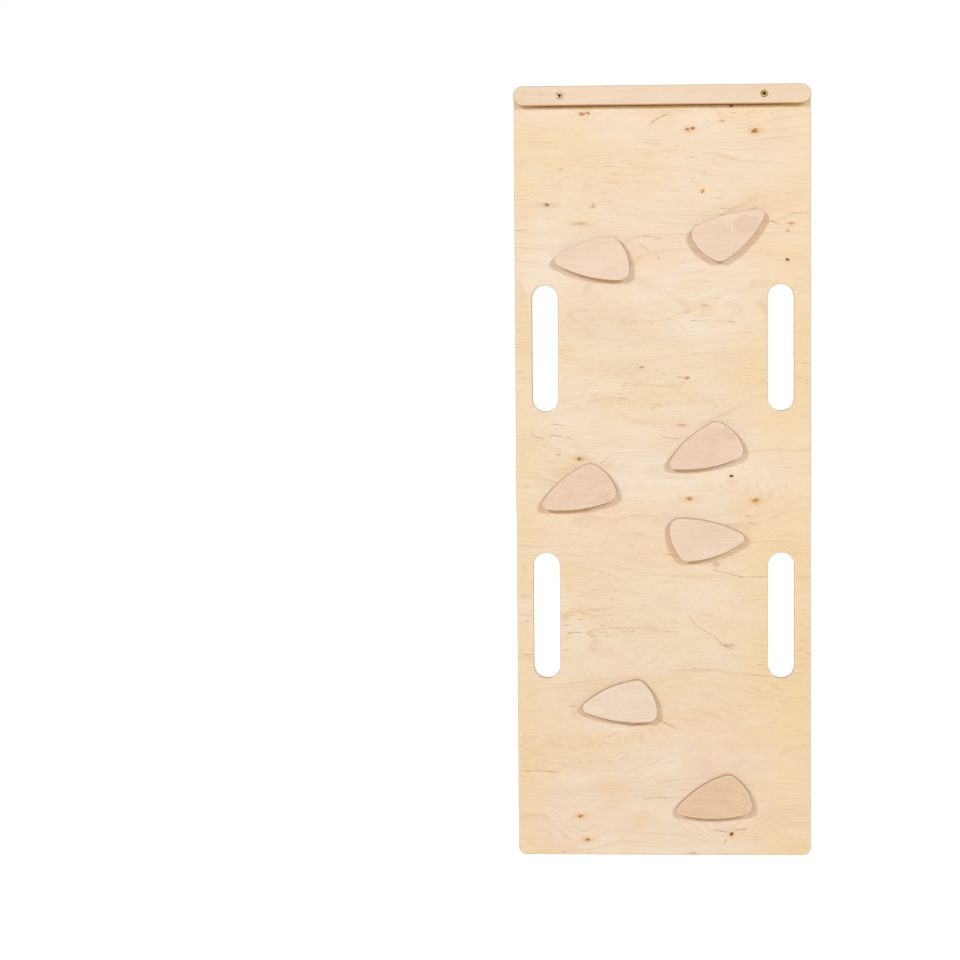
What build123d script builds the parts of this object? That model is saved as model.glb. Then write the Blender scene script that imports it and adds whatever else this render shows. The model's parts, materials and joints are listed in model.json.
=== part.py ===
from build123d import *
from math import cos, hypot, radians, sin, sqrt
import os

# Two-sided board for a child's climbing triangle: one face carries climbing holds,
# the other is left clear as a slide. It stands on its lower short edge.
# Millimetres. X runs across the board, Z up it, and -Y out of the climbing face.
# The origin is the middle of the lower edge, halfway through the thickness.

# ---- driving dimensions ----

board_width = 420.0
board_length = 1100.0
board_thickness = 18.0
board_foot_corner = 12.0
edge_round = 2.0

slot_width = 37.0
slot_length = 180.0
slot_rail = 24.0
# height of the lower and upper slot centres, as shares of the board's length
slot_centre_shares = (0.3145, 0.6625)

cleat_height = 27.0
cleat_thickness = 18.0

hold_thickness = 18.0
hold_edge_round = 1.5
# a hold seen from the front, tip to the left: the centres and radii of its corners,
# and the radii of the bowed sides that join them
tip_corner = (-54.0, -1.0, 8.0)
upper_corner = (19.0, 15.5, 14.0)
lower_corner = (30.0, -18.5, 14.0)
tip_to_upper_bow = 148.0
upper_to_lower_bow = 64.0
lower_to_tip_bow = 197.0

# where each hold sits: shares of half the width from the centre line, shares of the
# length up from the foot, and its turn in degrees, anticlockwise from the front
hold_places = {
    "hold_1": (-0.433, 0.779, 2.0),
    "hold_2": (0.429, 0.807, 210.0),
    "hold_3": (0.309, 0.535, 25.0),
    "hold_4": (-0.549, 0.4815, 23.0),
    "hold_5": (0.254, 0.414, 182.0),
    "hold_6": (-0.263, 0.203, 7.0),
    "hold_7": (0.369, 0.0765, 16.0),
}

dowel_diameter = 8.0
dowel_end_bevel = 1.0
dowel_skin = 5.0
dowel_end_gap = 0.5
# dowels along a hold's length, from the point that hold_places puts on the board
dowel_seats = {"tip": -27.0, "heel": 19.0}

screw_diameter = 5.0
screw_head_diameter = 10.0
screw_point_length = 4.0
screw_from_end = 66.0
screw_tip_gap = 4.0
recess_span = 5.2
recess_width = 1.2
recess_depth = 1.8
recess_tick_span = 4.4
recess_tick_width = 0.5
recess_tick_depth = 0.7

# ---- clearances ----

dowel_clearance = 0.05
screw_clearance = 0.05
screw_end_gap = 0.5

# ---- derived sizes ----

half_thickness = board_thickness / 2
slot_from_centre = board_width / 2 - slot_rail - slot_width / 2
cleat_centre_height = board_length - cleat_height / 2
screw_from_centre = board_width / 2 - screw_from_end
screw_bite = (board_thickness - screw_tip_gap) / 2
screw_length = cleat_thickness + screw_bite
dowel_hole_in_board = board_thickness - dowel_skin
dowel_hole_in_hold = hold_thickness - dowel_skin

# outward direction of each face along Y
faces = {"climbing_side": -1, "slide_side": 1}


def face_plane(side, across, height, turn=0.0):
    """A plane lying on one face of the board, its normal pointing out of the board.

    Its X axis runs to the right for someone who looks at that face.
    """
    outward = faces[side]
    rightward = -outward
    return Plane(
        origin=(across, outward * half_thickness, height),
        x_dir=(rightward * cos(radians(turn)), 0, sin(radians(turn))),
        z_dir=(0, outward, 0),
    )


def edges_on(solid, y):
    """The edges of a solid that lie wholly in the plane at that Y."""
    return solid.edges().filter_by(
        lambda edge: abs(edge.bounding_box().min.Y - y) < 0.001
        and abs(edge.bounding_box().max.Y - y) < 0.001
    )


# ---- holds ----


def bowed_side(start, end, bow):
    """The arc between two corner circles that touches both from outside.

    The corners are taken clockwise, so the bow's centre lies on the right of the way.
    """
    start_x, start_z, start_radius = start
    end_x, end_z, end_radius = end
    start_reach = bow - start_radius
    end_reach = bow - end_radius
    span = hypot(end_x - start_x, end_z - start_z)
    along = (start_reach**2 - end_reach**2 + span**2) / (2 * span)
    aside = sqrt(start_reach**2 - along**2)
    way_x = (end_x - start_x) / span
    way_z = (end_z - start_z) / span
    centre = Vector(
        start_x + along * way_x + aside * way_z,
        start_z + along * way_z - aside * way_x,
    )
    from_start = (Vector(start_x, start_z) - centre).normalized()
    from_end = (Vector(end_x, end_z) - centre).normalized()
    crown = (from_start + from_end).normalized()
    return [centre + direction * bow for direction in (from_start, crown, from_end)]


def corner_arc(corner, arriving, leaving):
    """The rounded corner between the end of one side and the start of the next."""
    centre = Vector(corner[0], corner[1])
    crown = (arriving - centre).normalized() + (leaving - centre).normalized()
    middle = centre + crown.normalized() * corner[2]
    return ThreePointArc(arriving, middle, leaving)


def hold_outline():
    corners = (tip_corner, upper_corner, lower_corner)
    bows = (tip_to_upper_bow, upper_to_lower_bow, lower_to_tip_bow)
    sides = [
        bowed_side(corners[i], corners[(i + 1) % 3], bows[i]) for i in range(3)
    ]
    arcs = [ThreePointArc(*side) for side in sides]
    for i in range(3):
        arcs.append(corner_arc(corners[i], sides[i - 1][2], sides[i][0]))
    return make_face(Wire(arcs).edges())


def hold_plane(place):
    across_share, height_share, turn = place
    return face_plane(
        "climbing_side",
        across_share * board_width / 2,
        height_share * board_length,
        turn,
    )


def dowel_cylinder(place, seat, radius, inward, outward):
    """A cylinder at one dowel's place, reaching inward and outward of the face."""
    plane = hold_plane(place)
    depth = inward + outward
    middle = (outward - inward) / 2
    return plane * Pos(seat, 0, middle) * Cylinder(radius, depth)


def dowel_bores(place):
    radius = dowel_diameter / 2 + dowel_clearance
    return [
        dowel_cylinder(place, seat, radius, dowel_hole_in_board, dowel_hole_in_hold)
        for seat in dowel_seats.values()
    ]


def make_hold(place):
    blank = extrude(hold_plane(place) * hold_outline(), amount=hold_thickness)
    front = -(half_thickness + hold_thickness)
    hold = fillet(edges_on(blank, front), hold_edge_round)
    return hold - dowel_bores(place)


def make_dowel(place, seat):
    dowel = dowel_cylinder(
        place,
        seat,
        dowel_diameter / 2,
        dowel_hole_in_board - dowel_end_gap,
        dowel_hole_in_hold - dowel_end_gap,
    )
    return chamfer(dowel.edges().filter_by(GeomType.CIRCLE), dowel_end_bevel)


# ---- cleats and their screws ----


def screw_places():
    """Every screw's name, the face it stands on, and how far it is from the middle."""
    places = []
    for side in faces:
        for name, across in (("left", -screw_from_centre), ("right", screw_from_centre)):
            places.append((f"cleat_screw_{side}_{name}", side, across))
    return places


def screw_axis(side, across):
    """A plane at the middle of a screw's head, flush with the cleat's front."""
    return face_plane(side, across, cleat_centre_height) * Pos(0, 0, cleat_thickness)


def screw_body(radius, head_radius, length, point_length):
    """A countersunk screw's outline, turned about its axis, with the head at the top."""
    head_depth = head_radius - radius
    outline = Polyline(
        (0, 0),
        (head_radius, 0),
        (radius, -head_depth),
        (radius, -(length - point_length)),
        (0, -length),
        close=True,
    )
    return revolve(Plane.XZ * make_face(outline), Axis.Z)


def driver_recess():
    cross = []
    for quarter in (0, 90):
        cross.append(
            Pos(0, 0, -recess_depth / 2)
            * Rot(0, 0, quarter)
            * Box(recess_span, recess_width, recess_depth)
        )
        cross.append(
            Pos(0, 0, -recess_tick_depth / 2)
            * Rot(0, 0, quarter + 45)
            * Box(recess_tick_span, recess_tick_width, recess_tick_depth)
        )
    return cross


def make_screw(side, across):
    body = screw_body(
        screw_diameter / 2, screw_head_diameter / 2, screw_length, screw_point_length
    )
    return screw_axis(side, across) * (body - driver_recess())


def screw_bore(side, across):
    bore = screw_body(
        screw_diameter / 2 + screw_clearance,
        screw_head_diameter / 2 + screw_clearance,
        screw_length + screw_end_gap,
        screw_point_length,
    )
    return screw_axis(side, across) * bore


def screw_bores():
    return [screw_bore(side, across) for name, side, across in screw_places()]


def make_cleat(side):
    plane = face_plane(side, 0, cleat_centre_height)
    blank = extrude(
        plane * SlotOverall(board_width, cleat_height), amount=cleat_thickness
    )
    front = faces[side] * (half_thickness + cleat_thickness)
    cleat = fillet(edges_on(blank, front), edge_round)
    return cleat - screw_bores()


# ---- board ----


def board_outline():
    """The panel's face: the top corners follow the cleats' round ends."""
    panel = Pos(0, board_length / 2) * Rectangle(board_width, board_length)
    foot = panel.vertices().group_by(Axis.Y)[0]
    panel = fillet(foot, board_foot_corner)
    head = panel.vertices().group_by(Axis.Y)[-1]
    return fillet(head, cleat_height / 2)


def hand_slots():
    slots = []
    for across in (-slot_from_centre, slot_from_centre):
        for share in slot_centre_shares:
            slot = SlotOverall(slot_length, slot_width, rotation=90)
            slots.append(Pos(across, share * board_length) * slot)
    return slots


def make_board():
    face = board_outline() - hand_slots()
    blank = extrude(face_plane("climbing_side", 0, 0) * face, amount=-board_thickness)
    rims = edges_on(blank, -half_thickness) + edges_on(blank, half_thickness)
    board = fillet(rims, edge_round)
    for place in hold_places.values():
        board -= dowel_bores(place)
    return board - screw_bores()


# ---- every piece, written to its own file ----


def all_pieces():
    pieces = {"board": make_board()}
    for side in faces:
        pieces[f"cleat_{side}"] = make_cleat(side)
    for name, side, across in screw_places():
        pieces[name] = make_screw(side, across)
    for name, place in hold_places.items():
        pieces[name] = make_hold(place)
        for end, seat in dowel_seats.items():
            pieces[f"{name}_dowel_{end}"] = make_dowel(place, seat)
    return pieces


os.makedirs("parts", exist_ok=True)
for name, piece in all_pieces().items():
    export_step(piece, f"parts/{name}.step")
    print(name, "volume", round(piece.volume))
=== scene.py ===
import json
import math

import bpy
from mathutils import Matrix, Vector


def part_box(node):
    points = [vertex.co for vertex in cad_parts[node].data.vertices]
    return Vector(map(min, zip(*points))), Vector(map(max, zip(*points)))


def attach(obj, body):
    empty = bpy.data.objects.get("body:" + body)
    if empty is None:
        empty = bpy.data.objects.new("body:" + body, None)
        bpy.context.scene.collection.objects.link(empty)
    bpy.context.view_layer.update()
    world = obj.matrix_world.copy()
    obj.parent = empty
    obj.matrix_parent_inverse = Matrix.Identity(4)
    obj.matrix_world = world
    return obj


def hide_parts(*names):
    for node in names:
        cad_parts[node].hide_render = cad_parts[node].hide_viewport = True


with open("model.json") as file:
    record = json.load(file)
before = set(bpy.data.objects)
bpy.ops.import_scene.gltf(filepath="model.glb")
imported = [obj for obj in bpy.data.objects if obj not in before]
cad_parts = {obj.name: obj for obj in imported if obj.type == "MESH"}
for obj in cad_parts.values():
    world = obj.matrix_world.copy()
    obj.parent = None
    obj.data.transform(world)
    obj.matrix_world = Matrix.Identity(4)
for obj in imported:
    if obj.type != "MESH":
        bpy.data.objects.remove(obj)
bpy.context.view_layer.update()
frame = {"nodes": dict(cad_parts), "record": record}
record = frame["record"]
nodes = frame["nodes"]
print("frame loaded,", len(nodes), "pieces")

millimetre = 0.001
plyCount = 13
sheetThickness = 0.018


# adds nodes to one tree and joins them up
class Wiring:
    def __init__(self, tree):
        self.tree = tree

    def node(self, kind, inputs=None, **settings):
        made = self.tree.nodes.new(kind)
        for name, value in settings.items():
            setattr(made, name, value)
        for key, value in (inputs or {}).items():
            self.feed(made.inputs[key], value)
        return made

    def shape(self, kind, inputs=None, **settings):
        return self.node("GeometryNode" + kind, inputs, **settings)

    # a node stands for its first output
    def feed(self, socket, value):
        if isinstance(value, bpy.types.Node):
            value = value.outputs[0]
        if isinstance(value, bpy.types.NodeSocket):
            self.tree.links.new(value, socket)
        else:
            socket.default_value = value

    def math(self, operation, *values, clamp=False):
        made = self.node("ShaderNodeMath", operation=operation, use_clamp=clamp)
        for index, value in enumerate(values):
            self.feed(made.inputs[index], value)
        return made.outputs[0]

    def times(self, one, other):
        return self.math("MULTIPLY", one, other)

    def timesPlus(self, one, other, more):
        return self.math("MULTIPLY_ADD", one, other, more)

    def minus(self, one, other):
        return self.math("SUBTRACT", one, other)

    def vector(self, operation, *values):
        made = self.node("ShaderNodeVectorMath", operation=operation)
        for index, value in enumerate(values):
            self.feed(made.inputs[index], value)
        return made.outputs[1 if operation == "LENGTH" else 0]

    def point(self, x=0.0, y=0.0, z=0.0):
        return self.node("ShaderNodeCombineXYZ", {"X": x, "Y": y, "Z": z}).outputs[0]

    def here(self):
        return self.node("ShaderNodeTexCoord").outputs["Object"]

    def parts(self, vector):
        return self.node("ShaderNodeSeparateXYZ", {0: vector}).outputs

    def ramp(self, value, low, high, toLow=0.0, toHigh=1.0):
        made = self.node("ShaderNodeMapRange", interpolation_type="SMOOTHSTEP")
        for index, given in enumerate((value, low, high, toLow, toHigh)):
            self.feed(made.inputs[index], given)
        return made.outputs[0]

    def noise(self, place, stretch, detail=2.0, roughness=0.5, offset=(0, 0, 0)):
        moved = self.vector("MULTIPLY_ADD", place, stretch, offset)
        made = self.node("ShaderNodeTexNoise", {"Vector": moved, "Scale": 1.0})
        made.inputs["Detail"].default_value = detail
        made.inputs["Roughness"].default_value = roughness
        return made.outputs

    def tint(self, factor, under, over, blend="MIX"):
        made = self.node("ShaderNodeMix", data_type="RGBA", blend_type=blend)
        self.feed(made.inputs[0], factor)
        self.feed(made.inputs[6], under)
        self.feed(made.inputs[7], over)
        return made.outputs[2]


def addObject(name, data):
    made = bpy.data.objects.new(name, data)
    bpy.context.scene.collection.objects.link(made)
    return made


def srgb(red, green, blue):
    def linear(value):
        value /= 255
        return value / 12.92 if value <= 0.04045 else ((value + 0.055) / 1.055) ** 2.4

    return (linear(red), linear(green), linear(blue), 1.0)


def newMaterial(name, roughness, **shine):
    material = bpy.data.materials.new(name)
    material.use_nodes = True
    wiring = Wiring(material.node_tree)
    shader = material.node_tree.nodes["Principled BSDF"]
    shader.inputs["Roughness"].default_value = roughness
    for key, value in shine.items():
        shader.inputs[key.replace("_", " ")].default_value = value
    return material, wiring, shader


# object coordinates squashed flat, so that a rounded edge keeps its face's grain
def grainPlace(wiring, layer):
    place = wiring.here()
    x, y, z = wiring.parts(place)
    return wiring.point(x, layer, z), x, z


# squared distance from a mark's middle, counted in its own length and height
def spread(wiring, x, z, spot):
    across = wiring.timesPlus(x, 1 / spot["long"], -spot["x"] / spot["long"])
    up = wiring.timesPlus(z, 1 / spot["high"], -spot["z"] / spot["high"])
    return wiring.timesPlus(up, up, wiring.times(across, across))


# darkens slowly towards the end of each ring and stops sharply, as latewood does
def ringLine(wiring, figure, start):
    band = wiring.math("FRACT", figure)
    stop = grainRings["stop"]
    return wiring.times(wiring.ramp(band, start, stop), wiring.ramp(band, stop, 1.0, 1.0, 0.0))


# noises that a veneer is mixed from: repeats in a metre along X, Y and Z, and how each is made
grainNoises = {
    "bend": dict(stretch=(2.2, 1, 6.0)),
    "ringPatch": dict(stretch=(6.5, 1, 26.0), offset=(7.1, 0, 3.3)),
    "finePatch": dict(stretch=(11.0, 1, 40.0), offset=(2.1, 0, 7.3)),
    "cloud": dict(stretch=(3.5, 1, 8.0), detail=3.0, roughness=0.6, offset=(1.7, 0, 9.2)),
    "silk": dict(stretch=(14.0, 1, 50.0), detail=3.0, roughness=0.6, offset=(4.2, 0, 0.6)),
    "fibre": dict(stretch=(22.0, 1, 700.0), detail=3.0, roughness=0.65),
    "pore": dict(stretch=(90.0, 1, 2400.0), detail=1.0, offset=(0.3, 0, 5.5)),
    "fleck": dict(stretch=(38.0, 1, 430.0), roughness=0.6, offset=(8.8, 0, 2.1)),
    "fleckArea": dict(stretch=(7.0, 1, 16.0), detail=1.0, offset=(3.9, 0, 6.4)),
    "blush": dict(stretch=(7.0, 1, 12.0), roughness=0.55, offset=(6.2, 0, 1.4)),
    "grit": dict(stretch=(260.0, 1, 700.0), offset=(2.5, 0, 4.5)),
}

# where each tone begins and ends along its value, then how much of it shows at either end
grainShares = {
    "ringPatch": (0.40, 0.66, 0.1, 1.0),
    "finePatch": (0.42, 0.66, 0.0, 0.8),
    "cloud": (0.36, 0.64),
    "blush": (0.46, 0.7, 0.0, 0.75),
    "washArea": (0.46, 0.66),
    "washSilk": (0.4, 0.62, 0.1, 0.5),
    "sunnyRight": (0.05, 0.2),
    "sunnyLeft": (-0.15, -0.21, 0.0, 0.6),
    "sunnyHead": (0.8, 1.1, 0.0, 0.7),
    "sunnyCloud": (0.3, 0.7, 0.45, 1.0),
    "silk": (0.35, 0.72, 0.0),
    "fibre": (0.45, 0.8, 0.0),
    "fleck": (0.65, 0.74),
    "fleckArea": (0.45, 0.62),
    "fleckRise": (0.18, 0.28, 0.3, 0.85),
    "pore": (0.60, 0.74),
    "poreCloud": (0.3, 0.7, 0.35, 1.0),
    "patch": (0.6, 1.0),
    "core": (0.02, 0.55),
    "pith": (0.0, 0.16),
}

# the rings: where a line starts in its ring, the finer lines between, and how ragged marks are
grainRings = {
    "start": 0.76,
    "stop": 0.93,
    "fineStart": 0.5,
    "fineCount": 3.0,
    "figureRoughness": 0.42,
    "ragged": 2.2,
    "crisp": 1.4,
}


# the colour and the height of a rotary-cut birch face whose grain runs along X
def veneer(wiring, look, marks=(), cracksAndShadeLine=()):
    def noise(name, at):
        return wiring.noise(at, **grainNoises[name])

    def share(name, value, *ends):
        return wiring.ramp(value, *grainShares[name], *ends)

    place, x, z = grainPlace(wiring, look["layer"])
    bend = noise("bend", place)[1]
    bend = wiring.vector("MULTIPLY", wiring.vector("SUBTRACT", bend, (0.5, 0.5, 0.5)), look["bend"])
    wavy = wiring.vector("ADD", place, bend)
    figure = wiring.noise(wavy, look["figure"], 3.0, grainRings["figureRoughness"])[0]
    figure = wiring.timesPlus(z, look["layers"], wiring.times(figure, look["rings"]))

    for spot in marks:
        if spot["swirl"]:
            squared = spread(wiring, x, z, spot)
            swirl = wiring.math("EXPONENT", wiring.times(squared, -spot["reach"]))
            figure = wiring.timesPlus(swirl, spot["swirl"] * look["rings"], figure)

    patchy = noise("ringPatch", place)[0]
    line = wiring.times(ringLine(wiring, figure, grainRings["start"]), share("ringPatch", patchy))
    patchy = noise("finePatch", place)[0]
    finer = wiring.times(figure, grainRings["fineCount"])
    fine = ringLine(wiring, finer, grainRings["fineStart"])
    line = wiring.timesPlus(fine, share("finePatch", patchy), line)

    cloud, silk, fibre, pore, fleck = (
        noise(name, wavy)[0] for name in ("cloud", "silk", "fibre", "pore", "fleck"))
    fleckArea, blush = (noise(name, place)[0] for name in ("fleckArea", "blush"))

    colour = wiring.tint(share("cloud", cloud), look["pale"], look["deep"])
    colour = wiring.tint(share("blush", blush), colour, look["blush"])
    washed = wiring.times(share("washArea", fleckArea), share("washSilk", silk))
    colour = wiring.tint(washed, colour, look["wash"])
    if look["sunny"]:
        outer = wiring.math("MAXIMUM", share("sunnyRight", x), share("sunnyLeft", x))
        outer = wiring.math("MAXIMUM", outer, share("sunnyHead", z))
        sunny = wiring.times(outer, share("sunnyCloud", cloud))
        colour = wiring.tint(sunny, colour, look["sunny"])
    colour = wiring.tint(share("silk", silk, look["silk"]), colour, look["shade"])
    colour = wiring.tint(wiring.times(line, look["ringDepth"]), colour, look["ring"])
    colour = wiring.tint(share("fibre", fibre, look["fibre"]), colour, look["ring"])
    flecks = wiring.times(share("fleck", fleck), share("fleckArea", fleckArea))
    flecks = wiring.times(flecks, share("fleckRise", z))
    colour = wiring.tint(wiring.times(flecks, look["fleck"]), colour, look["streakAndShadeLine"])
    pores = wiring.times(share("pore", pore), share("poreCloud", cloud))
    colour = wiring.tint(wiring.times(pores, look["pore"]), colour, look["streakAndShadeLine"])

    grit = noise("grit", place)[0]
    for spot in marks:
        if not (spot["halo"] or spot["core"] or spot["patch"]):
            continue
        squared = spread(wiring, x, z, spot)
        rough = wiring.minus(grit, 0.5)
        ragged = wiring.timesPlus(rough, grainRings["ragged"], squared)
        if spot["patch"]:
            rough = wiring.minus(silk, 0.5)
            crisp = wiring.timesPlus(rough, grainRings["crisp"], squared)
            patch = share("patch", crisp, spot["patch"], 0.0)
            colour = wiring.tint(patch, colour, look["heart"])
        if spot["halo"]:
            glow = wiring.math("EXPONENT", wiring.times(squared, -1.0))
            colour = wiring.tint(wiring.times(glow, spot["halo"]), colour, look[spot["tone"]])
        if spot["core"]:
            core = share("core", ragged, spot["core"], 0.0)
            colour = wiring.tint(core, colour, look["knot"])
        if spot["pith"]:
            pith = share("pith", ragged, spot["pith"], 0.0)
            colour = wiring.tint(pith, colour, look["pith"])
    # cracks in the veneer, and on the climbing face a painted shade line under the cleat, in the streak
    # colour
    scarsAndShade = 0.0
    for drawnLine in cracksAndShadeLine:
        scarsAndShade = wiring.math("MAXIMUM", scarsAndShade, hairline(wiring, x, z, grit, drawnLine))
    if cracksAndShadeLine:
        colour = wiring.tint(scarsAndShade, colour, look["streakAndShadeLine"])

    height = wiring.timesPlus(fibre, 0.5, wiring.times(pores, -0.9))
    height = wiring.timesPlus(line, -0.35, height)
    return colour, height


# a thin line from one point to another, darkest in the middle: used for checked cracks in the veneer and
# for the painted shade line under the cleat
def hairline(wiring, x, z, grit, drawnLine):
    ax, az, bx, bz = (value * millimetre for value in drawnLine["line"])
    length = math.hypot(bx - ax, bz - az)
    ux, uz = (bx - ax) / length, (bz - az) / length
    along = wiring.timesPlus(x, ux, wiring.timesPlus(z, uz, -(ax * ux + az * uz)))
    aside = wiring.timesPlus(x, -uz, wiring.timesPlus(z, ux, ax * uz - az * ux))
    wobble = wiring.timesPlus(wiring.minus(grit, 0.5), 0.0016, aside)
    bow = wiring.math("SINE", wiring.times(along, math.pi / length))
    wobble = wiring.timesPlus(bow, drawnLine["bow"] * millimetre, wobble)
    thin = wiring.ramp(wiring.math("ABSOLUTE", wobble), 0.0, drawnLine["wide"] * millimetre, 1.0, 0.0)
    thin = wiring.times(thin, wiring.ramp(grit, 0.38, 0.56, drawnLine["even"], 1.0))
    ends = wiring.ramp(wiring.math("ABSOLUTE", wiring.minus(along, length / 2)),
                       length * 0.38, length * 0.5, drawnLine["depth"], 0.0)
    return wiring.times(thin, ends)


def finishWood(wiring, shader, colour, height, strength, roughLow, roughHigh):
    bump = wiring.node("ShaderNodeBump", {"Height": height})
    bump.inputs["Strength"].default_value = strength
    bump.inputs["Distance"].default_value = 0.0004
    wiring.feed(shader.inputs["Base Color"], colour)
    wiring.feed(shader.inputs["Normal"], bump)
    wiring.feed(shader.inputs["Roughness"], wiring.ramp(height, -0.3, 0.6, roughLow, roughHigh))


climbLook = {
    "layer": 0.37,
    "bend": (0.05, 0.0, 0.016),
    "figure": (2.2, 1, 7.5),
    "rings": 10.0,
    "layers": 34.0,
    "pale": srgb(243, 225, 199),
    "deep": srgb(241, 219, 180),
    "blush": srgb(243, 215, 180),
    "sunny": srgb(243, 213, 159),
    "wash": srgb(241, 211, 158),
    "shade": srgb(238, 210, 172),
    "silk": 0.4,
    "ring": srgb(204, 162, 110),
    "ringDepth": 0.2,
    "fibre": 0.16,
    # also the colour of the painted shade line under the cleat
    "streakAndShadeLine": srgb(168, 104, 44),
    "fleck": 0.8,
    "pore": 0.25,
    "knot": srgb(164, 98, 40),
    "pith": srgb(52, 30, 16),
    "heart": srgb(226, 194, 165),
    "amber": srgb(230, 180, 106),
    "gold": srgb(250, 222, 158),
    "rose": srgb(226, 186, 150),
    "smoke": srgb(206, 178, 142),
}

slideLook = dict(
    climbLook,
    layer=1.91,
    figure=(1.6, 1, 6.0),
    rings=14.0,
    layers=12.0,
    pale=srgb(243, 224, 194),
    deep=srgb(239, 216, 182),
    blush=srgb(240, 212, 180),
    wash=srgb(240, 212, 171),
    sunny=None,
    shade=srgb(235, 208, 173),
    ring=srgb(212, 172, 134),
    ringDepth=0.24,
    fleck=0.3,
    pore=0.22,
)

holdLook = dict(
    climbLook,
    figure=(5.0, 1, 22.0),
    rings=5.0,
    layers=40.0,
    sunny=None,
    silk=0.45,
    ring=srgb(200, 158, 124),
    ringDepth=0.18,
    fleck=0.12,
    pore=0.3,
)


# one hold's own veneer: its middle tone, with a paler and a deeper one beside it
def holdTone(layer, red, green, blue, **other):
    return dict(
        holdLook,
        layer=layer,
        pale=srgb(red + 3, green + 4, blue + 5),
        deep=srgb(red - 1, green - 3, blue - 4),
        blush=srgb(red, green - 4, blue - 3),
        wash=srgb(red, green - 3, blue - 6),
        shade=srgb(red - 6, green - 10, blue - 12),
        **other,
    )


cleatLook = dict(
    climbLook,
    layer=5.53,
    figure=(1.2, 1, 30.0),
    rings=7.0,
    layers=30.0,
    pale=srgb(239, 216, 183),
    deep=srgb(236, 210, 173),
    blush=srgb(238, 208, 174),
    wash=srgb(238, 209, 168),
    sunny=None,
    ringDepth=0.2,
    fleck=0.15,
)


# what the tree left in the climbing face: places in millimetres from the middle of the foot
def mark(x, z, long, high, tone="amber", halo=0.5, core=0.0, pith=0.0, swirl=0.0, reach=0.15, patch=0.0):
    return {
        "x": x * millimetre, "z": z * millimetre,
        "long": long * millimetre, "high": high * millimetre,
        "tone": tone, "halo": halo, "core": core, "pith": pith, "swirl": swirl, "reach": reach,
        "patch": patch,
    }


climbMarks = [
    mark(-113, 1061, 7, 4, halo=0.6, core=0.75, swirl=0.05, reach=0.06),
    mark(-105, 1062, 6, 3, halo=0.4, core=0.7),
    mark(36, 1038, 6, 4, halo=0.7, core=0.85, swirl=0.05, reach=0.04),
    mark(43, 1039, 6, 4, core=0.85),
    mark(133, 1035, 16, 4.5, halo=0.45),
    mark(131, 1034.5, 8, 4.5, halo=1.0, core=0.85, pith=0.35),
    mark(98, 1070, 4, 3, "smoke", core=1.0, pith=1.0, swirl=0.12, reach=0.012),
    mark(84, 1049, 7, 2, "smoke", halo=0.4, core=0.6),
    mark(57, 952, 10, 6, "gold", halo=0.7),
    mark(57, 951, 5, 4, core=0.9, pith=0.7, swirl=0.06, reach=0.03),
    mark(-164, 933, 15, 4, "rose", halo=0.7),
    mark(-164, 933, 7, 3.5, "rose", core=0.6, pith=0.6),
    mark(-99, 930, 6, 2.5, "rose", halo=0.35, core=0.4),
    mark(-117, 906, 17, 4, halo=0.35, core=0.25),
    mark(183, 904, 9, 3, halo=0.3, core=0.5),
    mark(178, 894, 5, 3, halo=0.3, core=0.6),
    mark(177, 853, 4, 4, "smoke", halo=0.2, core=0.9, pith=0.9),
    mark(-25, 700, 40, 12, "smoke", halo=0.1, swirl=0.14, reach=0.2),
    mark(-30, 701, 6, 3, halo=0.3, core=0.6),
    mark(35, 686, 7, 3, halo=0.3, core=0.6),
    mark(-90, 772, 60, 24, "smoke", halo=0.04, swirl=0.16, reach=0.5),
    mark(-40, 760, 26, 14, "smoke", halo=0.04, swirl=0.12, reach=0.5),
    mark(26, 619, 11, 3, halo=0.6, core=0.3),
    mark(-118, 571, 13, 4, halo=0.65),
    mark(-119, 571, 6, 3.5, core=0.75, pith=0.25, swirl=0.08, reach=0.03),
    mark(97, 546, 4.5, 4, core=1.0, pith=1.0, swirl=0.07, reach=0.02),
    mark(38, 513, 13, 4, halo=0.4),
    mark(37, 514, 6, 4, halo=0.6, core=0.75, swirl=0.05),
    mark(132, 511, 12, 5),
    mark(131, 511, 6, 5, halo=0.8, core=0.75, swirl=0.08, reach=0.02),
    mark(75, 420, 9, 6, "rose", halo=0.35, core=0.3),
    mark(92, 303, 13, 4, "smoke", halo=0.4, core=0.3),
    mark(-80, 100, 34, 10, halo=0.25, swirl=0.05, reach=0.6),
    mark(-150, 165, 80, 26, "shade", halo=0.0, swirl=0.3, reach=0.5),
    mark(-121, 56, 12, 4, halo=0.6),
    mark(-121, 56, 5, 3.5, core=0.9, pith=0.45, swirl=0.1, reach=0.02),
    mark(-111, 22, 11, 4, halo=0.6),
    mark(-111, 22, 5, 3.5, core=0.8, pith=0.35, swirl=0.08, reach=0.03),
    mark(96, 31, 6, 5, core=1.0, pith=1.0, swirl=0.09, reach=0.02),
    mark(40, 2, 9, 3, "smoke", core=0.5),
]


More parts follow.
